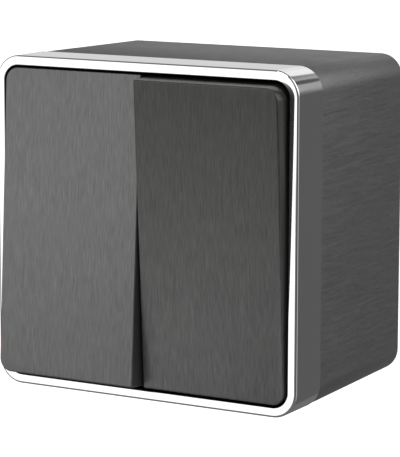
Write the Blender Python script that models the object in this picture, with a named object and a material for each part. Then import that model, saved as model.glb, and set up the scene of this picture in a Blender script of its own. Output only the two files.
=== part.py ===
"""Two-gang rocker wall switch for surface mounting.

X runs to the right as the front is seen, Y into the wall and Z up. The origin is the centre of the back face,
which lies on the wall. Sizes are in millimetres and become metres as each mesh is made. A "depth" is a distance
out from the wall, so it is minus Y.
"""

import math

import bmesh
import bpy

MM = 0.001
GAP = 0.3  # left between pieces that rest on each other

# Driving dimensions of the whole switch
WIDTH = 82.0
HEIGHT = 80.5
DEPTH = 57.0
CORNER_RADIUS = 6.25

# Bright frame: a front lip round the rockers and a side band behind it
FRAME_DEPTH = 12.2
LIP_WIDTH = 2.3
LIP_THICKNESS = 1.2
BAND_THICKNESS = 0.9
FRAME_CHAMFER = 0.25

# Surface box
BOX_INSET = 0.1
BOX_DRAFT = 0.55
BOX_WALL = 2.2
CABLE_HOLE_RADIUS = 8.0
CABLE_HOLE_Z = 14.0
WALL_HOLE_RADIUS = 2.3
WALL_HOLE_Z = 28.0
POST_RADIUS = 3.6
POST_HOLE_RADIUS = 1.35
POST_HOLE_END = 29.0

# Rockers: the face is flat and stands proud of the frame, and the two faces cross at half height
FACE_PROUD = 2.45
PIVOT_BEHIND_FACE = 6.7
TILT = math.radians(3.4)
MIDDLE_GAP = 0.5
ROCKER_SIDE_GAP = 0.35
ROCKER_END_GAP = 0.6
ROCKER_RISE = 0.1
ROCKER_SKIRT = 8.2
ROCKER_DRAFT = 0.35
ROCKER_PLATE = 1.8
ROCKER_WALL = 1.5
ROCKER_BEVEL = 0.35
CLIP_PLACES = ((-7, -12), (-7, 12), (7, -12), (7, 12))

# Mechanism: two gangs side by side on one plate
GANG_X = 12.1
CONTACT_RATIO = 2.2
SCREW_PITCH = 60.0
MECHANISM_HALF_X = 26.9
MECHANISM_HALF_Z = 26.0
BASE_HALF = 23.3
BASE_BACK = 22.0
BASE_FLOOR = 2.0
BASE_WALL = 1.8
RIVET_X = 25.4
RIVET_Z = 20.0
RIVET_HOLE_RADIUS = 0.95
RIVET_SHANK_RADIUS = 0.75
RIVET_HEAD_RADIUS = 1.6
AXLE_RADIUS = 0.85
AXLE_BORE = 1.0
AXLE_HALF_LENGTH = 24.2
FULCRUM_DEPTH = 36.9
CONTACT_REACH = 11.0
CONTACT_HOLE_RADIUS = 0.9
STRIP_HALF_WIDTH = 2.5
TERMINAL_Z = 12.9
TERMINAL_DEPTH = 28.0
CLAMP_HALF_WIDTH = 3.4
CLAMP_HALF_LENGTH = 3.6
TAIL_BACK = 26.0
TUBE_END = 9.0
PLUNGER_RADIUS = 2.05
PLUNGER_TOP = 5.0
PLUNGER_HOLLOW = 6.3
PLUNGER_DOME = 1.55

# Depths worked out from the sizes above
FRAME_BACK = DEPTH - FRAME_DEPTH
BOX_FRONT = FRAME_BACK - GAP
PIVOT_DEPTH = DEPTH + FACE_PROUD - PIVOT_BEHIND_FACE
PLATE_BACK = FRAME_BACK - 4.2
PLATE_FRONT = PLATE_BACK + 1.2
FLANGE_BACK = PLATE_FRONT + GAP
FLANGE_FRONT = FLANGE_BACK + 2.3
COVER_BACK = FLANGE_FRONT + GAP
COVER_FRONT = COVER_BACK + 1.6
STRIP_BACK = FULCRUM_DEPTH - 4.3
STRIP_FRONT = STRIP_BACK + 0.8
PLUNGER_TIP = PIVOT_DEPTH - FULCRUM_DEPTH - 1.25


# ---------------------------------------------------------------- tools


def clear_scene():
    """Remove every object, so that the script can be run again."""
    for obj in list(bpy.data.objects):
        bpy.data.objects.remove(obj, do_unlink=True)


def material(name, colour, roughness, metallic=0.0):
    """Make one Principled material."""
    mat = bpy.data.materials.new(name)
    mat.use_nodes = True
    shader = mat.node_tree.nodes["Principled BSDF"]
    shader.inputs["Base Color"].default_value = (*colour, 1.0)
    shader.inputs["Roughness"].default_value = roughness
    shader.inputs["Metallic"].default_value = metallic
    return mat


def place(name, mesh, mat=None, parent=None):
    """Add a mesh as an object, under the empty that it turns with if there is one."""
    obj = bpy.data.objects.new(name, mesh)
    bpy.context.scene.collection.objects.link(obj)
    if mat:
        mesh.materials.append(mat)
    obj.parent = parent
    return obj


def pivot(name, x, depth, z, tilt):
    """Make an empty on a joint's axis, turned to the rest pose."""
    empty = bpy.data.objects.new(name, None)
    bpy.context.scene.collection.objects.link(empty)
    empty.location = (x * MM, -depth * MM, z * MM)
    empty.rotation_euler = (tilt, 0.0, 0.0)
    return empty


def rectangle(x0, x1, z0, z1, radii=(0.0, 0.0, 0.0, 0.0), steps=1):
    """Outline of a rectangle in X and Z, from the +X +Z corner on; each corner is an arc of steps + 1 points."""
    corners = ((x1, z1, -1, -1), (x0, z1, 1, -1), (x0, z0, 1, 1), (x1, z0, -1, 1))
    points = []
    for number, (x, z, to_x, to_z) in enumerate(corners):
        radius = max(radii[number], 0.01)
        for step in range(steps + 1):
            angle = math.radians(90.0 * (number + step / steps))
            centre_x, centre_z = x + to_x * radius, z + to_z * radius
            points.append((centre_x + radius * math.cos(angle), centre_z + radius * math.sin(angle)))
    return points


def frame_outline(inset, steps=7):
    """The switch's own rounded outline, moved in by inset."""
    x, z = WIDTH / 2 - inset, HEIGHT / 2 - inset
    return rectangle(-x, x, -z, z, (max(CORNER_RADIUS - inset, 1.0),) * 4, steps)


def circle(radius, x=0.0, z=0.0, count=24):
    """Outline of a circle in X and Z."""
    angles = [2 * math.pi * step / count for step in range(count)]
    return [(x + radius * math.cos(a), z + radius * math.sin(a)) for a in angles]


def loft(rings, cyclic=False):
    """Close a skin over rings of (outline, depth); a cyclic loft joins its last ring to its first, as on a frame."""
    mesh = bpy.data.meshes.new("loft")
    shape = bmesh.new()
    loops = [[shape.verts.new((x * MM, -depth * MM, z * MM)) for x, z in outline] for outline, depth in rings]
    pairs = list(zip(loops, loops[1:]))
    if cyclic:
        pairs.append((loops[-1], loops[0]))
    else:
        shape.faces.new(loops[0])
        shape.faces.new(loops[-1])
    for first, second in pairs:
        for i in range(len(first)):
            j = (i + 1) % len(first)
            shape.faces.new((first[i], first[j], second[j], second[i]))
    bmesh.ops.recalc_face_normals(shape, faces=shape.faces)
    shape.to_mesh(mesh)
    shape.free()
    return mesh


def box(x0, x1, depth0, depth1, z0, z1):
    """Mesh of a plain box."""
    outline = [(x1, z1), (x0, z1), (x0, z0), (x1, z0)]
    return loft([(outline, depth0), (outline, depth1)])


def turned(profile, x=0.0, z=0.0, count=24, cyclic=False):
    """Mesh turned about a line along Y at x and z, from a profile of (radius, depth)."""
    return loft([(circle(radius, x, z, count), depth) for radius, depth in profile], cyclic)


def rod(axis, first, second, radius, start, end, count=20):
    """Mesh of a round rod along X (at depth first, z second), Y (x, z) or Z (x, depth)."""
    if axis == "Y":
        return turned([(radius, start), (radius, end)], first, second, count)
    mesh = turned([(radius, start), (radius, end)], 0.0, 0.0, count)
    for vertex in mesh.vertices:
        x, y, z = vertex.co
        if axis == "X":
            vertex.co = (-y, x - first * MM, z + second * MM)
        else:
            vertex.co = (x + first * MM, z - second * MM, -y)
    return mesh


def combine(obj, operation, meshes):
    """Cut meshes out of an object, or join them to it, with Boolean modifiers."""
    for number, mesh in enumerate(meshes):
        helper = place(f"{obj.name}_{operation.lower()}_{number}", mesh, None, obj.parent)
        helper.hide_render = True
        helper.display_type = "WIRE"
        modifier = obj.modifiers.new(helper.name, "BOOLEAN")
        modifier.operation = operation
        modifier.solver = "EXACT"
        modifier.object = helper
    return obj


def smooth(obj):
    """Shade a round piece smooth, with its edges kept sharp."""
    obj.data.shade_smooth()
    obj.data.set_sharp_from_angle(angle=math.radians(35))
    return obj


# ---------------------------------------------------------------- casing


def mounting_box(mat):
    """Surface box: tapers a little to the wall, with two posts for the mechanism and holes in its rear wall."""
    front, back = BOX_INSET, BOX_INSET + BOX_DRAFT
    rings = [
        (frame_outline(back + BOX_WALL), BOX_WALL),
        (frame_outline(front + BOX_WALL), BOX_FRONT),
        (frame_outline(front), BOX_FRONT),
        (frame_outline(back), 0.0),
    ]
    obj = place("mounting_box", loft(rings), mat)
    post_x = SCREW_PITCH / 2
    posts = [rod("Y", side * post_x, 0.0, POST_RADIUS, BOX_WALL - 0.5, PLATE_BACK - GAP) for side in (-1, 1)]
    combine(obj, "UNION", posts)
    holes = [
        rod("Y", side * post_x, 0.0, POST_HOLE_RADIUS, POST_HOLE_END, PLATE_BACK + 1.0) for side in (-1, 1)
    ]
    holes += [rod("Y", 0.0, side * WALL_HOLE_Z, WALL_HOLE_RADIUS, -1.0, BOX_WALL + 1.0) for side in (-1, 1)]
    holes.append(rod("Y", 0.0, CABLE_HOLE_Z, CABLE_HOLE_RADIUS, -1.0, BOX_WALL + 1.0, 32))
    combine(obj, "DIFFERENCE", holes)


def cable_grommet(mat):
    """Rubber ring in the rear cable hole, held by its flange inside the box."""
    neck = CABLE_HOLE_RADIUS - GAP
    flange_back = BOX_WALL + GAP
    profile = [
        (4.0, 0.3),
        (neck, 0.3),
        (neck, flange_back),
        (neck + 2.2, flange_back),
        (neck + 2.2, flange_back + 1.6),
        (6.0, flange_back + 1.6),
        (4.0, flange_back + 0.6),
    ]
    smooth(place("cable_grommet", turned(profile, 0.0, CABLE_HOLE_Z, 32, cyclic=True), mat))


def chrome_frame(mat):
    """Plated frame: a side band with a narrow flat lip in front."""
    rings = [
        (frame_outline(0.0), FRAME_BACK),
        (frame_outline(0.0), DEPTH - FRAME_CHAMFER),
        (frame_outline(FRAME_CHAMFER), DEPTH),
        (frame_outline(LIP_WIDTH), DEPTH),
        (frame_outline(LIP_WIDTH), DEPTH - LIP_THICKNESS),
        (frame_outline(BAND_THICKNESS), DEPTH - LIP_THICKNESS),
        (frame_outline(BAND_THICKNESS), FRAME_BACK),
    ]
    place("chrome_frame", loft(rings, cyclic=True), mat)


def retainer_frame(mat):
    """Black inner frame: a wall behind the lip, a flange round the mechanism and a spigot in the box."""
    wall_out = BAND_THICKNESS + GAP
    spigot_out = BOX_INSET + BOX_WALL + GAP
    flange_front = FRAME_BACK + 1.8
    window = rectangle(-27.4, 27.4, -26.5, 26.5, (2.0,) * 4, 7)
    rings = [
        (frame_outline(wall_out), FRAME_BACK),
        (frame_outline(wall_out), DEPTH - LIP_THICKNESS - GAP),
        (frame_outline(LIP_WIDTH - 0.05), DEPTH - LIP_THICKNESS - GAP),
        (frame_outline(LIP_WIDTH - 0.05), flange_front),
        (window, flange_front),
        (window, FRAME_BACK),
        (frame_outline(spigot_out + 1.0), FRAME_BACK),
        (frame_outline(spigot_out + 1.0), FRAME_BACK - 1.8),
        (frame_outline(spigot_out), FRAME_BACK - 1.8),
        (frame_outline(spigot_out), FRAME_BACK),
    ]
    place("retainer_frame", loft(rings, cyclic=True), mat)


# ---------------------------------------------------------------- mechanism, fixed pieces


def mounting_plate(mat):
    """Steel plate with a window for the mechanism, two screw holes and four rivet holes."""
    window = rectangle(-BASE_HALF - GAP, BASE_HALF + GAP, -BASE_HALF - GAP, BASE_HALF + GAP, (1.0,) * 4, 3)
    outline = rectangle(-36.5, 36.5, -33.0, 33.0, (3.0,) * 4, 3)
    rings = [(outline, PLATE_BACK), (outline, PLATE_FRONT), (window, PLATE_FRONT), (window, PLATE_BACK)]
    obj = place("mounting_plate", loft(rings, cyclic=True), mat)
    low, high = PLATE_BACK - 1.0, PLATE_FRONT + 1.0
    holes = [rod("Y", side * SCREW_PITCH / 2, 0.0, 1.9, low, high) for side in (-1, 1)]
    combine(obj, "DIFFERENCE", holes + rivet_holes(low, high))


def rivet_holes(start, end):
    """The four rivet holes that the plate, the base and the cover share."""
    return [
        rod("Y", x * RIVET_X, z * RIVET_Z, RIVET_HOLE_RADIUS, start, end, 12) for x in (-1, 1) for z in (-1, 1)
    ]


def plate_screws(mat):
    """Slotted screws that hold the plate to the box's posts."""
    head_back = PLATE_FRONT + GAP
    for name, side in (("left", -1), ("right", 1)):
        x = side * SCREW_PITCH / 2
        profile = [(1.1, 31.0), (1.1, head_back), (2.6, head_back), (2.6, head_back + 1.4), (1.8, head_back + 2.1)]
        obj = place(f"plate_screw_{name}", turned(profile, x, 0.0), mat)
        combine(obj, "DIFFERENCE", [box(x - 3.0, x + 3.0, head_back + 1.2, head_back + 3.0, -0.4, 0.4)])
        smooth(obj)


def mechanism_base(mat):
    """Insulating housing: an open cup with a flange, ribs under the contacts, and holes for wires and screws."""
    inner = BASE_HALF - BASE_WALL
    rings = [
        (square(inner, inner), BASE_BACK + BASE_FLOOR),
        (square(inner, inner), FLANGE_FRONT),
        (square(MECHANISM_HALF_X, MECHANISM_HALF_Z), FLANGE_FRONT),
        (square(MECHANISM_HALF_X, MECHANISM_HALF_Z), FLANGE_BACK),
        (square(BASE_HALF, BASE_HALF), FLANGE_BACK),
        (square(BASE_HALF, BASE_HALF), BASE_BACK),
    ]
    obj = place("mechanism_base", loft(rings), mat)
    floor = BASE_BACK + BASE_FLOOR - 0.5
    ribs = [box(-17.0, 17.0, floor, STRIP_BACK - GAP, -2.2, 2.2)]
    ribs += [box(side * GANG_X - 5, side * GANG_X + 5, floor, STRIP_BACK - 0.6, -7.9, -6.3) for side in (-1, 1)]
    ribs.append(box(-5.0, 5.0, floor, STRIP_BACK - 0.6, 6.3, 7.9))
    combine(obj, "UNION", ribs)
    holes = rivet_holes(FLANGE_BACK - 1.0, FLANGE_FRONT + 1.0)
    for x, side in terminals():
        holes.append(rod("Y", x, side * TERMINAL_Z, 2.3, BASE_BACK - 1.0, BASE_BACK + BASE_FLOOR + 0.3))
        through = sorted((side * (inner - 0.5), side * (BASE_HALF + 1.0)))
        holes.append(rod("Z", x, TERMINAL_DEPTH, 3.1, *through))
    combine(obj, "DIFFERENCE", holes)


def square(half_x, half_z):
    """A rectangle about the middle, with small round corners."""
    return rectangle(-half_x, half_x, -half_z, half_z, (1.0,) * 4, 3)


def terminals():
    """Places of the three terminals: x, and -1 below the middle or 1 above it."""
    return ((-GANG_X, -1), (GANG_X, -1), (0.0, 1))


def mechanism_cover(mat):
    """Front cover of the mechanism, with two windows and the three lugs that carry the axle."""
    rings = [
        (square(MECHANISM_HALF_X, MECHANISM_HALF_Z), COVER_BACK),
        (square(MECHANISM_HALF_X, MECHANISM_HALF_Z), COVER_FRONT),
    ]
    obj = place("mechanism_cover", loft(rings), mat)
    lugs = [(-1.1, 1.1), (22.5, AXLE_HALF_LENGTH + GAP), (-AXLE_HALF_LENGTH - GAP, -22.5)]
    top = PIVOT_DEPTH + 1.9
    combine(obj, "UNION", [box(x0, x1, COVER_FRONT - 0.5, top, -2.2, 2.2) for x0, x1 in lugs])
    cuts = [rod("X", PIVOT_DEPTH, 0.0, AXLE_BORE, -26.0, 26.0)]
    for side in (-1, 1):
        x = side * GANG_X
        cuts.append(box(x - 4.6, x + 4.6, COVER_BACK - 1.0, COVER_FRONT + 1.0, -5.2, 5.2))
    combine(obj, "DIFFERENCE", cuts + rivet_holes(COVER_BACK - 1.0, COVER_FRONT + 1.0))


def mechanism_rivets(mat):
    """Four tubular rivets that join the cover, the base and the plate."""
    low, high = PLATE_BACK - GAP, COVER_FRONT + GAP
    head, shank = RIVET_HEAD_RADIUS, RIVET_SHANK_RADIUS
    profile = [(1.2, low - 0.7), (head, low - 0.4), (head, low), (shank, low)]
    profile += [(shank, high), (head, high), (head, high + 0.4), (1.2, high + 0.7)]
    corners = [(-1, 1), (1, 1), (-1, -1), (1, -1)]
    for number, (x, z) in enumerate(corners, 1):
        smooth(place(f"mechanism_rivet_{number}", turned(profile, x * RIVET_X, z * RIVET_Z, 16), mat))


def rocker_axle(mat):
    """Steel pin through the three lugs, which both cradles turn on."""
    obj = place("rocker_axle", rod("X", 0.0, 0.0, AXLE_RADIUS, -AXLE_HALF_LENGTH, AXLE_HALF_LENGTH), mat)
    obj.location = (0.0, -PIVOT_DEPTH * MM, 0.0)
    smooth(obj)


def common_contact(mat):
    """Brass bar along both gangs, with a ridge under each blade and a tail into the common clamp."""
    obj = place("common_contact", box(-16.0, 16.0, STRIP_BACK, STRIP_FRONT, -2.0, 2.0), mat)
    ridges = [
        box(side * GANG_X - 2.2, side * GANG_X + 2.2, STRIP_FRONT - 0.2, FULCRUM_DEPTH - GAP, -0.35, 0.35)
        for side in (-1, 1)
    ]
    arm = box(-STRIP_HALF_WIDTH, STRIP_HALF_WIDTH, STRIP_BACK, STRIP_FRONT, 1.5, 9.0)
    tail = box(-STRIP_HALF_WIDTH, STRIP_HALF_WIDTH, TAIL_BACK, STRIP_BACK + 0.4, 8.2, 9.0)
    combine(obj, "UNION", ridges + [arm, tail])


def fixed_contacts(strip_mat, rivet_mat):
    """For each gang a brass strip with a tail into its clamp, and the silver rivet that the blade meets."""
    top = STRIP_FRONT + GAP / 2
    shank = RIVET_SHANK_RADIUS
    profile = [(1.1, STRIP_BACK - 0.65), (1.1, STRIP_BACK - 0.15), (shank, STRIP_BACK - 0.15)]
    profile += [(shank, top), (1.5, top), (1.5, top + 0.4), (1.1, top + 0.6)]
    for name, side in (("left", -1), ("right", 1)):
        x = side * GANG_X
        x0, x1 = x - STRIP_HALF_WIDTH, x + STRIP_HALF_WIDTH
        obj = place(f"fixed_contact_{name}", box(x0, x1, STRIP_BACK, STRIP_FRONT, -13.4, -8.2), strip_mat)
        combine(obj, "UNION", [box(x0, x1, TAIL_BACK, STRIP_BACK + 0.4, -9.0, -8.2)])
        through = (STRIP_BACK - 1.0, STRIP_FRONT + 1.0)
        combine(obj, "DIFFERENCE", [rod("Y", x, -CONTACT_REACH, CONTACT_HOLE_RADIUS, *through, 16)])
        smooth(place(f"fixed_rivet_{name}", turned(profile, x, -CONTACT_REACH, 16), rivet_mat))


def terminal_sets(clamp_mat, screw_mat):
    """A brass clamp and its screw at each of the three terminals."""
    middle, half = TERMINAL_DEPTH, CLAMP_HALF_WIDTH
    for name, (x, side) in zip(("left", "right", "common"), terminals()):
        z = side * TERMINAL_Z
        block = box(x - half, x + half, middle - half, middle + half, z - CLAMP_HALF_LENGTH, z + CLAMP_HALF_LENGTH)
        clamp = place(f"terminal_clamp_{name}", block, clamp_mat)
        wire = rod("Y", x, z, 2.0, middle - 4.0, middle + 4.0)
        thread = rod("Z", x, middle, 1.6, *sorted((side * 11.2, side * 17.5)))
        combine(clamp, "DIFFERENCE", [wire, thread])
        shank = rod("Z", x, middle, 1.35, *sorted((side * 11.6, side * 17.2)))
        screw = place(f"terminal_screw_{name}", shank, screw_mat)
        combine(screw, "UNION", [rod("Z", x, middle, 2.6, *sorted((side * 16.8, side * 19.0)), 24)])
        slot_z = sorted((side * 18.2, side * 20.0))
        combine(screw, "DIFFERENCE", [box(x - 3.5, x + 3.5, middle - 0.4, middle + 0.4, *slot_z)])


# ---------------------------------------------------------------- mechanism, moving pieces


def rocker_cover(name, side, empty, mat):
    """Cover of one rocker: a flat face with a bevel round it and a skirt behind; it clips to the cradle."""
    inner = MIDDLE_GAP / 2 - GANG_X
    outer = WIDTH / 2 - LIP_WIDTH - ROCKER_SIDE_GAP - GANG_X
    end = HEIGHT / 2 - LIP_WIDTH - ROCKER_END_GAP
    corner = CORNER_RADIUS - LIP_WIDTH - ROCKER_SIDE_GAP

    def outline(inset, draft=0.0):
        x0, x1 = sorted((side * (inner + inset), side * (outer - inset - draft)))
        half = end - inset - draft
        round_corner, square_corner = max(corner - inset - draft, 0.5), 0.4
        right, left = (round_corner, square_corner) if side > 0 else (square_corner, round_corner)
        return rectangle(x0, x1, ROCKER_RISE - half, ROCKER_RISE + half, (right, left, left, right), 6)

    face, back = PIVOT_BEHIND_FACE, PIVOT_BEHIND_FACE - ROCKER_SKIRT
    plate_back = face - ROCKER_PLATE
    rings = [
        (outline(ROCKER_WALL, ROCKER_DRAFT), plate_back),
        (outline(ROCKER_WALL), back),
        (outline(0.0), back),
        (outline(0.0, ROCKER_DRAFT), face - ROCKER_BEVEL),
        (outline(ROCKER_BEVEL, ROCKER_DRAFT), face),
    ]
    obj = place(name, loft(rings), mat, empty)
    clips = [box(x - 1.5, x + 1.5, 1.5, plate_back + 0.3, z - 1.5, z + 1.5) for x, z in CLIP_PLACES]
    combine(obj, "UNION", clips)
    x0, x1 = sorted((side * (inner - 1.0), side * (inner + ROCKER_WALL + 0.5)))
    combine(obj, "DIFFERENCE", [box(x0, x1, back - 1.0, plate_back - 0.05, -4.2, 4.2)])


def cradle(name, empty, mat):
    """Rocking cradle: a plate for the cover's clips, a beam on the axle and a tube for the plunger."""
    plate_front = PIVOT_BEHIND_FACE - ROCKER_PLATE - GAP
    plate_back = plate_front - 2.0
    obj = place(name, box(-10.0, 10.0, plate_back, plate_front, -17.0, 17.0), mat, empty)
    beam = box(-10.0, 10.0, -2.2, plate_back + 0.2, -3.4, 3.4)
    combine(obj, "UNION", [beam, rod("Y", 0.0, 0.0, 3.2, -TUBE_END, -1.8)])
    windows = [
        box(x - 1.8, x + 1.8, plate_back - 1.0, plate_front + 1.0, z - 1.8, z + 1.8) for x, z in CLIP_PLACES
    ]
    bores = [rod("X", 0.0, 0.0, AXLE_BORE, -11.0, 11.0)]
    bores.append(rod("Y", 0.0, 0.0, PLUNGER_RADIUS + GAP, -TUBE_END - 1.0, -2.0))
    combine(obj, "DIFFERENCE", bores + windows)


def plunger(name, empty, mat):
    """Hollow pusher with a round tip; its spring sits inside it."""
    dome = PLUNGER_TIP - PLUNGER_DOME
    profile = [
        (1.4, -PLUNGER_TOP - PLUNGER_HOLLOW),
        (1.4, -PLUNGER_TOP),
        (PLUNGER_RADIUS, -PLUNGER_TOP),
        (PLUNGER_RADIUS, -dome),
    ]
    for degrees in (20, 40, 60, 80):
        angle = math.radians(degrees)
        reach = PLUNGER_DOME * math.sin(angle) / math.sin(math.radians(80))
        profile.append((PLUNGER_RADIUS * math.cos(angle), -dome - reach))
    smooth(place(name, turned(profile, 0.0, 0.0, 20), mat, empty))


def plunger_spring(name, empty, mat):
    """Compression spring between the cradle and the plunger: a helix along the tube."""
    turns, radius, start = 8, 0.95, -2.45
    end = 0.85 - PLUNGER_TOP - PLUNGER_HOLLOW
    count = 12 * turns
    curve = bpy.data.curves.new(name, "CURVE")
    curve.dimensions = "3D"
    curve.bevel_depth = 0.22 * MM
    curve.bevel_resolution = 1
    curve.use_fill_caps = True
    spline = curve.splines.new("POLY")
    spline.points.add(count)
    for step in range(count + 1):
        angle = 2 * math.pi * turns * step / count
        depth = start + (end - start) * step / count
        spline.points[step].co = (radius * math.cos(angle) * MM, -depth * MM, radius * math.sin(angle) * MM, 1.0)
    place(name, curve, None, empty).data.materials.append(mat)


def moving_contact(name, empty, mat):
    """Brass blade that rocks on the common bar's ridge."""
    obj = place(name, box(-2.4, 2.4, 0.0, 1.0, -13.0, 13.0), mat, empty)
    combine(obj, "DIFFERENCE", [rod("Y", 0.0, -CONTACT_REACH, CONTACT_HOLE_RADIUS, -1.0, 2.0, 16)])


def moving_rivet(name, empty, mat):
    """Silver rivet through the blade's lower end."""
    head, shank = RIVET_HEAD_RADIUS, RIVET_SHANK_RADIUS
    profile = [(1.2, -0.95), (head, -0.75), (head, -0.15), (shank, -0.15)]
    profile += [(shank, 1.15), (1.2, 1.15), (1.2, 1.35), (0.9, 1.55)]
    smooth(place(name, turned(profile, 0.0, -CONTACT_REACH, 16), mat, empty))


# ---------------------------------------------------------------- the whole switch


def build():
    """Make every piece, the fixed ones first and then the two gangs."""
    clear_scene()
    graphite = material("graphite", (0.12, 0.12, 0.12), 0.38, 0.8)
    chrome = material("chrome", (0.85, 0.85, 0.85), 0.08, 1.0)
    black = material("black_plastic", (0.015, 0.015, 0.015), 0.5)
    rubber = material("rubber", (0.03, 0.03, 0.03), 0.8)
    zinc = material("zinc_steel", (0.6, 0.61, 0.62), 0.35, 1.0)
    steel = material("steel", (0.55, 0.55, 0.56), 0.25, 1.0)
    housing = material("housing_plastic", (0.75, 0.74, 0.7), 0.5)
    nylon = material("nylon", (0.8, 0.79, 0.75), 0.4)
    brass = material("brass", (0.75, 0.55, 0.25), 0.3, 1.0)
    silver = material("silver", (0.88, 0.88, 0.86), 0.2, 1.0)

    mounting_box(graphite)
    cable_grommet(rubber)
    chrome_frame(chrome)
    retainer_frame(black)
    mounting_plate(zinc)
    plate_screws(zinc)
    mechanism_base(housing)
    mechanism_cover(housing)
    mechanism_rivets(steel)
    rocker_axle(steel)
    common_contact(brass)
    fixed_contacts(brass, silver)
    terminal_sets(brass, zinc)

    for name, side in (("left", -1), ("right", 1)):
        tilt = side * TILT
        rocker = pivot(f"{name}_rocker_pivot", side * GANG_X, PIVOT_DEPTH, 0.0, tilt)
        rocker_cover(f"{name}_rocker_cover", side, rocker, graphite)
        cradle(f"{name}_cradle", rocker, nylon)
        plunger(f"{name}_plunger", rocker, nylon)
        plunger_spring(f"{name}_plunger_spring", rocker, steel)
        blade = pivot(f"{name}_contact_pivot", side * GANG_X, FULCRUM_DEPTH, 0.0, -CONTACT_RATIO * tilt)
        moving_contact(f"{name}_moving_contact", blade, brass)
        moving_rivet(f"{name}_moving_rivet", blade, silver)


build()
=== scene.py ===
import math

import bmesh
import bpy
import numpy as np
from mathutils import Matrix


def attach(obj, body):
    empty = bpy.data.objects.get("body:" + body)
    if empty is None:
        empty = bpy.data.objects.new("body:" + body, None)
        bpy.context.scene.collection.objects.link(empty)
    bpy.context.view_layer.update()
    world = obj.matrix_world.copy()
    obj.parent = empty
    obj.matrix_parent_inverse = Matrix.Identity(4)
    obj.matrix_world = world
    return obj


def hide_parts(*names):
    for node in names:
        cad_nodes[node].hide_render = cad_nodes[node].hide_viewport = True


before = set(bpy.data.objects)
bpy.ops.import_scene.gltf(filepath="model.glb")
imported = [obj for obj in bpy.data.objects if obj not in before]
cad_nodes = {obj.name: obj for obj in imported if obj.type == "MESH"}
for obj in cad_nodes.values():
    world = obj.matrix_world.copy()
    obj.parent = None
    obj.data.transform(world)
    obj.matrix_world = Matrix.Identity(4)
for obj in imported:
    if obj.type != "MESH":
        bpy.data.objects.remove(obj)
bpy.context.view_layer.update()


# ---------------------------------------------------------------- camera
# The switch hangs on a wall and is looked at from the front right, a little from above, through a long lens
# about 61 cm away.

camera_place = (0.28693, -0.53295, 0.09484)
camera_azimuth = math.radians(29.69)
camera_elevation = math.radians(9.57)
camera_roll = math.radians(0.09)

camera_data = bpy.data.cameras.new("camera")
camera_data.lens = 188.8
camera_data.sensor_width = 36.0
camera = bpy.data.objects.new("camera", camera_data)
bpy.context.scene.collection.objects.link(camera)
camera.matrix_world = (
    Matrix.Translation(camera_place)
    @ Matrix.Rotation(camera_azimuth, 4, "Z")
    @ Matrix.Rotation(math.pi / 2 - camera_elevation, 4, "X")
    @ Matrix.Rotation(camera_roll, 4, "Z")
)
bpy.context.scene.camera = camera


# ---------------------------------------------------------------- studio
# A white backdrop and floor in a dim studio. Bright cards with soft edges stand round the switch: the plated
# frame mirrors them, and the brushed faces blur them. One softbox hangs above.


def node(tree, kind, inputs, **settings):
    """Add a shader node. Each input is a fixed value or the output socket that feeds it."""
    made = tree.nodes.new("ShaderNode" + kind)
    for key, value in settings.items():
        setattr(made, key, value)
    for key, value in inputs.items():
        if isinstance(value, bpy.types.NodeSocket):
            tree.links.new(value, made.inputs[key])
        else:
            made.inputs[key].default_value = value
    return made


def studio_direction(azimuth, elevation):
    """Unit vector towards a place in the studio; azimuth 0 is in front of the switch and 90 at its right."""
    turn, rise = math.radians(azimuth), math.radians(elevation)
    return (math.sin(turn) * math.cos(rise), -math.cos(turn) * math.cos(rise), math.sin(rise))


world = bpy.data.worlds.new("studio")
world.use_nodes = True
bpy.context.scene.world = world
world_tree = world.node_tree
background = world_tree.nodes["Background"]
ray_direction = world_tree.nodes.new("ShaderNodeTexCoord").outputs["Generated"]
ray_height = node(world_tree, "SeparateXYZ", {0: ray_direction}).outputs["Z"]
glow = node(
    world_tree,
    "MapRange",
    {"Value": ray_height, "From Min": -0.9, "From Max": 0.8, "To Min": 0.16, "To Max": 0.17},
    interpolation_type="SMOOTHSTEP",
).outputs["Result"]
# Long cards: azimuth of the middle, half width, lowest and highest elevation in degrees, and brightness
studio_cards = (
    (-30, 37, -8, 46, 1.38),
    (-31, 9, -24, -5, 1.35),
    (108, 12, -35, 20, 0.42),
    (150, 16, -80, 2, 0.108),
)
# Round cards and flags: azimuth, elevation, inner and outer radius in degrees, and brightness
studio_rounds = (
    (-150, 9, 6, 10, 0.7),
    (-159, 20, 6, 11, 0.85),
    (-172, 28, 6, 12, 0.95),
    (123, 31, 8, 35, 2.5),
    (162, 18, 8, 20, 0.38),
    (160, 24, 2.8, 6, 0.1),
    (35, -8, 22, 36, 0.13),
    (60, -8, 6, 14, 0.03),
    (100, -8, 8, 20, 0.5),
)


def soft_step(value, start, end):
    """0 where value is below start, 1 above end and smooth between, as a socket of the studio's nodes."""
    limits = {"Value": value, "From Min": start, "From Max": end}
    return node(world_tree, "MapRange", limits, interpolation_type="SMOOTHSTEP").outputs["Result"]


def facing(azimuth, elevation):
    """Cosine of the angle between a ray and a place in the studio."""
    towards = {0: ray_direction, 1: studio_direction(azimuth, elevation)}
    return node(world_tree, "VectorMath", towards, operation="DOT_PRODUCT").outputs["Value"]


def cosine(degrees):
    """Cosine of an angle in degrees."""
    return math.cos(math.radians(degrees))


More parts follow.
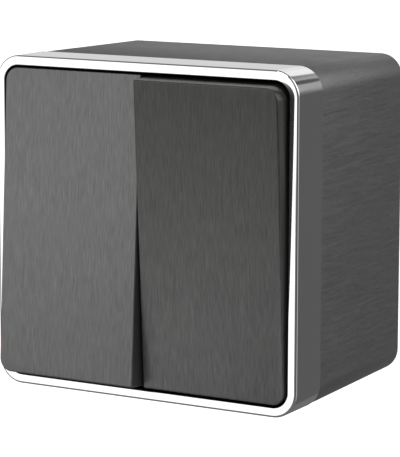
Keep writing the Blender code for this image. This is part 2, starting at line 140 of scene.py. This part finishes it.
flattened = node(world_tree, "VectorMath", {0: ray_direction, 1: (1.0, 1.0, 0.0)}, operation="MULTIPLY")
level_ray = node(world_tree, "VectorMath", {0: flattened.outputs[0]}, operation="NORMALIZE").outputs[0]
side_blur = 5.0
masks = []
for azimuth, half_width, low, high, brightness in studio_cards:
    towards = {0: level_ray, 1: studio_direction(azimuth, 0)}
    turned_to = node(world_tree, "VectorMath", towards, operation="DOT_PRODUCT").outputs["Value"]
    sides = soft_step(turned_to, cosine(half_width + side_blur), cosine(half_width))
    above = soft_step(ray_height, cosine(91 - low), cosine(89 - low))
    below = soft_step(ray_height, cosine(88 - high), cosine(92 - high))
    level = node(world_tree, "Math", {0: above, 1: below}, operation="MULTIPLY").outputs[0]
    mask = node(world_tree, "Math", {0: sides, 1: level}, operation="MULTIPLY").outputs[0]
    masks.append((mask, brightness))
for azimuth, elevation, inner, outer, brightness in studio_rounds:
    masks.append((soft_step(facing(azimuth, elevation), cosine(outer), cosine(inner)), brightness))
for mask, brightness in masks:
    glow = node(world_tree, "Mix", {0: mask, 2: glow, 3: brightness}, data_type="FLOAT").outputs[0]
backdrop_brightness = 1.05
seen_directly = world_tree.nodes.new("ShaderNodeLightPath").outputs["Is Camera Ray"]
shown = {0: seen_directly, 2: glow, 3: backdrop_brightness}
glow = node(world_tree, "Mix", shown, data_type="FLOAT").outputs[0]
world_tree.links.new(glow, background.inputs["Strength"])
background.inputs["Color"].default_value = (1.0, 1.0, 0.995, 1.0)

floor_mesh = bpy.data.meshes.new("studio_floor")
floor_half, floor_z = 6.0, -0.35
floor_corners = [(x * floor_half, y * floor_half, floor_z) for x, y in ((-1, -1), (1, -1), (1, 1), (-1, 1))]
floor_mesh.from_pydata(floor_corners, [], [(0, 1, 2, 3)])
floor = bpy.data.objects.new("studio_floor", floor_mesh)
bpy.context.scene.collection.objects.link(floor)
floor_paint = bpy.data.materials.new("studio_floor")
floor_paint.use_nodes = True
floor_shader = floor_paint.node_tree.nodes["Principled BSDF"]
floor_shader.inputs["Base Color"].default_value = (0.85, 0.85, 0.85, 1.0)
floor_shader.inputs["Roughness"].default_value = 0.9
floor_shader.inputs["Emission Color"].default_value = (1.0, 1.0, 1.0, 1.0)
floor_shader.inputs["Emission Strength"].default_value = 0.8
floor_mesh.materials.append(floor_paint)
floor.visible_glossy = False

lamp = bpy.data.lights.new("softbox_above", "AREA")
lamp.shape = "RECTANGLE"
lamp.size = 0.45
lamp.size_y = 0.35
lamp.energy = 1.6
softbox = bpy.data.objects.new("softbox_above", lamp)
bpy.context.scene.collection.objects.link(softbox)
softbox.location = (-0.05, -0.5, 0.75)
softbox.rotation_euler = (-softbox.location).to_track_quat("-Z", "Y").to_euler()

bpy.context.scene.view_settings.view_transform = "Standard"


# ---------------------------------------------------------------- surface box
# A deep square box moulded in one piece, its outside brushed along the depth and lacquered in dark graphite.
# It tapers a little to the wall, and its rear wall has two screw holes and one for the cable.

MM = 0.001  # sizes are in millimetres and become metres as each mesh is made
width, height, depth = 82.0, 80.5, 57.0
corner_radius = 6.25
frame_depth = 12.2
frame_back = depth - frame_depth
box_wall = 2.2
box_seam = 0.08
box_inset, box_draft = 0.1, 0.55
back_edge_radius, front_edge_radius = 1.0, 0.2
post_x, post_radius, post_hole_radius, post_hole_end = 30.0, 3.6, 1.35, 29.0
cable_hole_z, cable_hole_radius = 14.0, 8.0
wall_hole_z, wall_hole_radius, wall_hole_mouth = 28.0, 2.3, 3.9


def rounded_skin(rectangles, radii, depths, steps=16, joined=False):
    """Surface through rounded rectangles. Ring k lies at depths[k] out from the wall and spans rectangles[k],
    (left, right, low, high). A point of it is its corner's centre plus the radius times (cos, sin) of its
    angle. joined closes the last ring onto the first, as on a frame; without it, flat ends close the piece."""
    rectangles, depths = np.array(rectangles, float), np.array(depths, float)
    radii = np.maximum(np.broadcast_to(np.array(radii, float), (len(depths), 4)), 0.03)
    angle = np.radians(90.0 * (np.arange(4)[:, None] + np.linspace(0, 1, steps + 1)[None, :]))
    corner_x = rectangles[:, [1, 0, 0, 1]] - radii * np.array([1, -1, -1, 1])
    corner_z = rectangles[:, [3, 3, 2, 2]] - radii * np.array([1, 1, -1, -1])
    x = corner_x[:, :, None] + radii[:, :, None] * np.cos(angle)
    z = corner_z[:, :, None] + radii[:, :, None] * np.sin(angle)
    around = 4 * (steps + 1)
    points = np.stack([x.reshape(-1), -np.repeat(depths, around), z.reshape(-1)], axis=1) * MM
    return grid_faces(points, len(depths), around, joined)


def grid_faces(points, rings, around, joined):
    """Mesh of a grid of points, rings by around, each ring closed on itself."""
    index = np.arange(rings * around).reshape(rings, around)
    across = np.vstack([index, index[:1]]) if joined else index
    low, high = across[:-1], across[1:]
    quads = np.stack([low, np.roll(low, -1, 1), np.roll(high, -1, 1), high], axis=2).reshape(-1, 4).tolist()
    if not joined:
        quads += [index[0].tolist(), index[-1].tolist()]
    mesh = bpy.data.meshes.new("surface")
    mesh.from_pydata(points.tolist(), [], quads)
    shape = bmesh.new()
    shape.from_mesh(mesh)
    bmesh.ops.remove_doubles(shape, verts=shape.verts, dist=1e-7)
    bmesh.ops.recalc_face_normals(shape, faces=shape.faces)
    shape.to_mesh(mesh)
    shape.free()
    return mesh


def lathe(profile, x=0.0, z=0.0, around=48, joined=False):
    """Surface turned about a line along the depth at x and z. Each (radius, depth) of the profile sweeps a
    circle: the centre plus the radius times (cos, sin) of the angle."""
    profile = np.array(profile, float)
    angle = np.linspace(0, 2 * np.pi, around, endpoint=False)
    px = x + profile[:, :1] * np.cos(angle)
    pz = z + profile[:, :1] * np.sin(angle)
    py = -np.repeat(profile[:, 1], around)
    return grid_faces(np.stack([px.reshape(-1), py, pz.reshape(-1)], axis=1) * MM, len(profile), around, joined)


def round_edge(start, end, count=5):
    """Quarter circle from start to end, both (inset, depth), leaving start along the depth."""
    turn = np.radians(np.linspace(0, 90, count))
    inset = start[0] + (end[0] - start[0]) * (1 - np.cos(turn))
    rise = start[1] + (end[1] - start[1]) * np.sin(turn)
    return list(zip(inset, rise))


def outline(inset):
    """The switch's own outside rectangle moved in by inset, and its corner radius."""
    x, z = width / 2 - inset, height / 2 - inset
    return (-x, x, -z, z), max(corner_radius - inset, 0.8)


def carried_round(profile, joined):
    """A profile of (inset, depth) carried round the switch's own outline."""
    rectangles, radii = zip(*[outline(inset) for inset, _ in profile])
    return rounded_skin(rectangles, np.array(radii)[:, None], [rise for _, rise in profile], joined=joined)


def add_piece(name, mesh, finish, body, replaced):
    """Add a finished piece that rides on a body and stands for one CAD node."""
    piece = bpy.data.objects.new(name, mesh)
    bpy.context.scene.collection.objects.link(piece)
    mesh.name = name
    mesh.materials.clear()
    mesh.materials.append(finish)
    mesh.shade_smooth()
    mesh.set_sharp_from_angle(angle=math.radians(32))
    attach(piece, body)
    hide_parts(replaced)


def cut_and_join(mesh, cuts, joins):
    """The mesh with others joined to it and then others cut out of it."""
    body = bpy.data.objects.new("work", mesh)
    bpy.context.scene.collection.objects.link(body)
    helpers = [body]
    for operation, others in (("UNION", joins), ("DIFFERENCE", cuts)):
        for other in others:
            helper = bpy.data.objects.new("work", other)
            bpy.context.scene.collection.objects.link(helper)
            helpers.append(helper)
            modifier = body.modifiers.new("work", "BOOLEAN")
            modifier.operation = operation
            modifier.solver = "EXACT"
            modifier.object = helper
    graph = bpy.context.evaluated_depsgraph_get()
    result = bpy.data.meshes.new_from_object(body.evaluated_get(graph))
    for helper in helpers:
        bpy.data.objects.remove(helper)
    return result


def shader_group(name, inputs, outputs):
    """Empty shader group with named sockets, its input node and its output node."""
    tree = bpy.data.node_groups.new(name, "ShaderNodeTree")
    for side, sockets in (("INPUT", inputs), ("OUTPUT", outputs)):
        for label, kind in sockets:
            tree.interface.new_socket(label, in_out=side, socket_type="NodeSocket" + kind)
    return tree, tree.nodes.new("NodeGroupInput").outputs, tree.nodes.new("NodeGroupOutput").inputs


# Brushed grain: fine hairlines and, under them, broader streaks. Stretch is how many lines fit in a metre
# along each axis, so the lines run along the axis with the smallest number.
grain_tree, grain_in, grain_out = shader_group(
    "brushed_grain",
    (("Place", "Vector"), ("Stretch", "Vector")),
    (("Hairline", "Float"), ("Streak", "Float")),
)
hair_at = {0: grain_in["Place"], 1: grain_in["Stretch"]}
hair_place = node(grain_tree, "VectorMath", hair_at, operation="MULTIPLY").outputs[0]
hair = node(grain_tree, "TexNoise", {"Vector": hair_place, "Scale": 1.0, "Detail": 2.0, "Roughness": 0.6})
hair_clear = node(grain_tree, "MapRange", {"Value": hair.outputs[0], "From Min": 0.3, "From Max": 0.7})
grain_tree.links.new(hair_clear.outputs[0], grain_out["Hairline"])
broad_place = node(grain_tree, "VectorMath", {0: hair_place, 1: (0.23, 0.23, 0.4)}, operation="MULTIPLY")
broad = node(grain_tree, "TexNoise", {"Vector": broad_place.outputs[0], "Scale": 1.0, "Detail": 3.0})
broad_clear = node(grain_tree, "MapRange", {"Value": broad.outputs[0], "From Min": 0.3, "From Max": 0.7})
grain_tree.links.new(broad_clear.outputs[0], grain_out["Streak"])


def new_finish(name, metallic):
    """New material, its node tree, its shader and the place on the piece."""
    finish = bpy.data.materials.new(name)
    finish.use_nodes = True
    tree = finish.node_tree
    shader = tree.nodes["Principled BSDF"]
    shader.inputs["Metallic"].default_value = metallic
    return finish, tree, shader, tree.nodes.new("ShaderNodeTexCoord").outputs["Object"]


def brushed(name, stretch, dark, light, roughness, metallic=0.85, relief=0.2, across=0.0, painted_top_shade=(1.0, 1.0, 1.0)):
    """Brushed metal finish: the hairlines shift the colour and raise the surface, the streaks shift the gloss.
    across is how far upright brushing draws highlights out sideways. The colour is multiplied by a painted
    shade factor at the switch's upper edge, and changes less the lower it is: this is painted shade where less
    light falls, not the finish's own colour."""
    finish, tree, shader, here = new_finish(name, metallic)
    grain = node(tree, "Group", {"Place": here, "Stretch": stretch}, node_tree=grain_tree)
    both = node(tree, "Math", {0: grain.outputs["Streak"], 1: 0.3}, operation="MULTIPLY")
    lines = {0: grain.outputs["Hairline"], 1: 0.7, 2: both.outputs[0]}
    fine = node(tree, "Math", lines, operation="MULTIPLY_ADD")
    colour = node(tree, "Mix", {0: fine.outputs[0], 6: (*dark, 1.0), 7: (*light, 1.0)}, data_type="RGBA")
    # Painted shade: the colour is darkened towards the switch's upper edge, standing in for less light falling
    # there.
    height = node(tree, "SeparateXYZ", {0: here}).outputs["Z"]
    rise = node(tree, "MapRange", {"Value": height, "From Min": -0.036, "From Max": 0.04})
    painted_shade = node(tree, "Mix", {0: rise.outputs[0], 6: (1.0, 1.0, 1.0, 1.0), 7: (*painted_top_shade, 1.0)}, data_type="RGBA")
    shaded_colour = node(tree, "VectorMath", {0: colour.outputs[2], 1: painted_shade.outputs[2]}, operation="MULTIPLY")
    tree.links.new(shaded_colour.outputs[0], shader.inputs["Base Color"])
    gloss_range = {"Value": grain.outputs["Streak"], "To Min": roughness - 0.05, "To Max": roughness + 0.05}
    gloss = node(tree, "MapRange", gloss_range)
    tree.links.new(gloss.outputs[0], shader.inputs["Roughness"])
    raised = node(tree, "Bump", {"Strength": relief, "Distance": 0.00002, "Height": grain.outputs["Hairline"]})
    tree.links.new(raised.outputs[0], shader.inputs["Normal"])
    if across:
        upright = node(tree, "Tangent", {}, direction_type="RADIAL", axis="X")
        tree.links.new(upright.outputs[0], shader.inputs["Tangent"])
        shader.inputs["Anisotropic"].default_value = across
        shader.inputs["Anisotropic Rotation"].default_value = 0.25
    return finish


box_grey, box_pale = (0.142, 0.142, 0.142), (0.205, 0.205, 0.205)
box_finish = brushed("box_graphite", (4200, 420, 4200), box_grey, box_pale, 0.46, relief=0.2)
box_front = frame_back - box_seam
back_inset = box_inset + box_draft
front_inset = box_inset + 0.02
box_profile = [
    *round_edge((back_inset, back_edge_radius), (back_inset + back_edge_radius, 0.0))[::-1],
    *round_edge((front_inset, box_front - front_edge_radius), (front_inset + front_edge_radius, box_front)),
    (box_inset + box_wall, box_front),
    (back_inset + box_wall, box_wall),
]
box_mesh = carried_round(box_profile, joined=False)
post_ends = [(post_radius, box_wall - 0.5), (post_radius, frame_back - 4.5)]
posts = [lathe(post_ends, x=side * post_x) for side in (-1, 1)]
post_hole_ends = [(post_hole_radius, post_hole_end), (post_hole_radius, frame_back - 3.0)]
bores = [lathe(post_hole_ends, x=side * post_x) for side in (-1, 1)]
wall_hole_ends = [(wall_hole_mouth, -0.01), (wall_hole_radius, 1.2), (wall_hole_radius, box_wall + 1.0)]
bores += [lathe(wall_hole_ends, z=side * wall_hole_z) for side in (-1, 1)]
bores.append(lathe([(cable_hole_radius, -1.0), (cable_hole_radius, box_wall + 1.0)], z=cable_hole_z))
add_piece("surface_box", cut_and_join(box_mesh, bores, posts), box_finish, "casing", "mounting_box")


# ---------------------------------------------------------------- cable grommet
# A black rubber ring pressed into the rear wall, held by its flange inside the box. A groove runs round its
# mouth, where the cable comes in.


def moulded(name, dark, light, roughness, grain_size=0.0006, metallic=0.0, relief=0.15, coat=0.0):
    """Moulded or plated finish: fine grain shifts the gloss and raises the surface, and the colour drifts
    slowly across the piece."""
    finish, tree, shader, here = new_finish(name, metallic)
    drift = node(tree, "TexNoise", {"Vector": here, "Scale": 90.0, "Detail": 3.0})
    pebble = node(tree, "TexNoise", {"Vector": here, "Scale": 1.0 / grain_size, "Detail": 2.0})
    colour = node(tree, "Mix", {0: drift.outputs[0], 6: (*dark, 1.0), 7: (*light, 1.0)}, data_type="RGBA")
    tree.links.new(colour.outputs[2], shader.inputs["Base Color"])
    gloss_range = {"Value": pebble.outputs[0], "To Min": roughness - 0.08, "To Max": roughness + 0.08}
    gloss = node(tree, "MapRange", gloss_range)
    tree.links.new(gloss.outputs[0], shader.inputs["Roughness"])
    raised = node(tree, "Bump", {"Strength": relief, "Distance": 0.00002, "Height": pebble.outputs[0]})
    tree.links.new(raised.outputs[0], shader.inputs["Normal"])
    shader.inputs["Coat Weight"].default_value = coat
    return finish


rubber = moulded("grommet_rubber", (0.018, 0.018, 0.018), (0.03, 0.03, 0.03), 0.75)
grommet_profile = [
    (4.0, 0.6),
    (4.5, 0.35),
    (5.4, 0.35),
    (5.7, 0.8),
    (6.1, 0.8),
    (6.4, 0.35),
    (7.4, 0.35),
    (7.7, 0.65),
    (7.7, 2.5),
    (9.6, 2.5),
    (9.9, 2.8),
    (9.9, 3.8),
    (9.6, 4.1),
    (6.0, 4.1),
    (4.0, 3.1),
]
grommet_mesh = lathe(grommet_profile, z=cable_hole_z, around=64, joined=True)
add_piece("grommet_ring", grommet_mesh, rubber, "casing", "cable_grommet")


# ---------------------------------------------------------------- mounting plate and screws
# Stamped steel plate, zinc plated, screwed to the box's two posts with slotted screws. The plate carries the
# whole mechanism.


def dress(finish, *names):
    """Give CAD nodes that are kept as they are their finish."""
    for name in names:
        for material_slot in cad_nodes[name].material_slots:
            material_slot.material = finish


zinc = moulded("zinc_plate", (0.5, 0.52, 0.54), (0.68, 0.69, 0.7), 0.34, grain_size=0.0012, metallic=1.0)
dress(zinc, "mounting_plate", "plate_screw_left", "plate_screw_right")


# ---------------------------------------------------------------- mechanism housing
# Base and cover of the mechanism, moulded in light grey thermoset and joined by four tubular steel rivets.
# The cover's three lugs carry one drawn steel axle for both rockers.

housing = moulded("housing_thermoset", (0.66, 0.65, 0.61), (0.76, 0.75, 0.71), 0.5)
dress(housing, "mechanism_base", "mechanism_cover")
steel_grey, steel_pale = (0.45, 0.45, 0.46), (0.62, 0.62, 0.63)
drawn_steel = brushed("drawn_steel", (300, 4000, 4000), steel_grey, steel_pale, 0.28, metallic=1.0)
dress(drawn_steel, "rocker_axle", *[f"mechanism_rivet_{number}" for number in (1, 2, 3, 4)])


# ---------------------------------------------------------------- contacts and terminals
# Brass strips bent down into their clamps, with silver rivets where the blades touch them. The clamps are
# brass blocks, each with a zinc-plated screw for the wire.

brass = brushed("rolled_brass", (3000, 3000, 500), (0.62, 0.43, 0.18), (0.8, 0.6, 0.3), 0.3, metallic=1.0)
silver = moulded("contact_silver", (0.78, 0.78, 0.76), (0.9, 0.9, 0.88), 0.24, metallic=1.0)
terminals = ("left", "right", "common")
dress(brass, "common_contact", "fixed_contact_left", "fixed_contact_right")
dress(brass, *[f"terminal_clamp_{name}" for name in terminals])
dress(zinc, *[f"terminal_screw_{name}" for name in terminals])
dress(silver, "fixed_rivet_left", "fixed_rivet_right")


# ---------------------------------------------------------------- cradles, plungers and blades
# Natural nylon cradles rock on the axle; each holds a nylon plunger on a wire spring, which tips a brass
# blade with a silver rivet from one side to the other.

nylon = moulded("natural_nylon", (0.72, 0.71, 0.66), (0.82, 0.81, 0.77), 0.38, coat=0.2)
wire_grey, wire_pale = (0.4, 0.4, 0.41), (0.58, 0.58, 0.6)
spring_wire = brushed("spring_wire", (4000, 4000, 4000), wire_grey, wire_pale, 0.25, metallic=1.0)
for side_name in ("left", "right"):
    dress(nylon, f"{side_name}_cradle", f"{side_name}_plunger")
    dress(spring_wire, f"{side_name}_plunger_spring")
    dress(brass, f"{side_name}_moving_contact")
    dress(silver, f"{side_name}_moving_rivet")


# ---------------------------------------------------------------- inner frame
# Black plastic frame behind the plated lip. It carries the lip and closes the gap round the rockers, where it
# shows as a dark line.

black = moulded("frame_black", (0.008, 0.008, 0.008), (0.014, 0.014, 0.014), 0.55)
dress(black, "retainer_frame")


# ---------------------------------------------------------------- plated frame
# One piece, moulded and plated in bright chrome: a band round the switch's sides with a narrow flat lip in
# front, its edges just broken.

chrome, chrome_tree, chrome_shader, chrome_here = new_finish("bright_chrome", 1.0)
ripple = node(chrome_tree, "TexNoise", {"Vector": chrome_here, "Scale": 60.0, "Detail": 2.0})
sheen = node(chrome_tree, "MapRange", {"Value": ripple.outputs[0], "To Min": 0.03, "To Max": 0.09})
chrome_tree.links.new(sheen.outputs[0], chrome_shader.inputs["Roughness"])
tint = node(
    chrome_tree,
    "Mix",
    {0: ripple.outputs[0], 6: (0.84, 0.845, 0.85, 1.0), 7: (0.88, 0.885, 0.89, 1.0)},
    data_type="RGBA",
)
chrome_tree.links.new(tint.outputs[2], chrome_shader.inputs["Base Color"])
wave = node(chrome_tree, "Bump", {"Strength": 0.05, "Distance": 0.00005, "Height": ripple.outputs[0]})
chrome_tree.links.new(wave.outputs[0], chrome_shader.inputs["Normal"])

lip_width = 2.32
outer_radius, inner_radius, back_break = 0.6, 0.2, 0.06
lip_thickness, band_thickness = 1.2, 0.9
inner_edge = round_edge((0.0, depth - inner_radius), (inner_radius, depth), 6)
chrome_profile = [
    (back_break, frame_back),
    (0.0, frame_back + back_break),
    *round_edge((0.0, depth - outer_radius), (outer_radius, depth), 10),
    *[(lip_width - inset, rise) for inset, rise in inner_edge[::-1]],
    (lip_width, depth - lip_thickness),
    (band_thickness, depth - lip_thickness),
    (band_thickness, frame_back),
]
add_piece("plated_frame", carried_round(chrome_profile, joined=True), chrome, "casing", "chrome_frame")


# ---------------------------------------------------------------- rocker covers
# Two tall covers, brushed from top to bottom and lacquered in graphite. Each is a flat face with a finely
# broken edge and a skirt behind it, and clips onto its cradle with four posts.

rocker_grain = (4400, 4400, 42)
# Dark and light brushed colours of each rocker, and the painted shade factor at its upper edge. Both rockers
# share one real graphite lacquer. The right copy is made a little paler and painted much darker towards its
# upper edge, and the left a little darker there. This is painted shade for how the studio light falls on each,
# not a difference in the finish.
rocker_colours_and_painted_shade = {
    "left": ((0.12, 0.12, 0.12), (0.206, 0.206, 0.206), (0.85, 0.85, 0.85)),
    "right": ((0.122, 0.122, 0.122), (0.222, 0.222, 0.222), (0.35, 0.35, 0.327)),
}
rocker_finishes = {
    name: brushed(f"{name}_graphite", rocker_grain, dark, light, 0.37, relief=0.16, across=0.8, painted_top_shade=painted_top_shade)
    for name, (dark, light, painted_top_shade) in rocker_colours_and_painted_shade.items()
}
gang_x = 12.1
pivot_depth = 52.75
face_height = 6.7
skirt = 8.2
cover_wall = 1.5
cover_plate = 1.8
edge_radius = 0.35
draft = 0.35
tilt = 3.4
side_gap, end_gap = 0.35, 0.6
cover_inner = 0.25
cover_outer = width / 2 - lip_width - side_gap
cover_end = height / 2 - lip_width - end_gap
cover_rise = 0.1
cover_corner = corner_radius - lip_width - side_gap
cover_inner_corner, smallest_corner = 0.35, 0.5
clip_x, clip_z, clip_half, clip_back = 7.0, 12.0, 1.5, 1.5
notch_half = 4.2
skirt_back = face_height - skirt
plate_back = face_height - cover_plate
face_edge = round_edge((0.0, face_height - edge_radius), (edge_radius, face_height), 7)
cover_profile = [
    (cover_wall + draft, plate_back, 1),
    (cover_wall, skirt_back, 0),
    (0.0, skirt_back, 0),
    *[(inset, rise, 1) for inset, rise in face_edge],
]

for side_name, side in (("left", -1), ("right", 1)):
    rectangles, radii, depths = [], [], []
    for inset, rise, drafted in cover_profile:
        taper = draft * drafted if inset <= edge_radius else 0.0
        x0, x1 = sorted((side * (cover_inner + min(inset, cover_wall)), side * (cover_outer - inset - taper)))
        end = cover_end - inset - taper
        corners = (max(cover_corner - inset - taper, smallest_corner), cover_inner_corner)
        right, left = corners if side > 0 else corners[::-1]
        rectangles.append((x0, x1, cover_rise - end, cover_rise + end))
        radii.append((right, left, left, right))
        depths.append(rise)
    cover_mesh = rounded_skin(rectangles, radii, depths)
    clips = []
    for x in (side * gang_x - clip_x, side * gang_x + clip_x):
        for z in (-clip_z, clip_z):
            block = [(x - clip_half, x + clip_half, z - clip_half, z + clip_half)] * 2
            clips.append(rounded_skin(block, 0.3, (clip_back, plate_back + 0.3), steps=3))
    notch_x = sorted((side * (cover_inner - 1.0), side * (cover_inner + cover_wall + 0.5)))
    notch_block = [(*notch_x, -notch_half, notch_half)] * 2
    notch = rounded_skin(notch_block, 0.3, (skirt_back - 1.0, plate_back - 0.05), steps=3)
    cover_mesh = cut_and_join(cover_mesh, [notch], clips)
    turned = Matrix.Rotation(math.radians(side * tilt), 4, "X")
    cover_mesh.transform(Matrix.Translation((0.0, -pivot_depth * MM, 0.0)) @ turned)
    add_piece(
        f"{side_name}_rocker",
        cover_mesh,
        rocker_finishes[side_name],
        f"{side_name}_rocker",
        f"{side_name}_rocker_cover",
    )
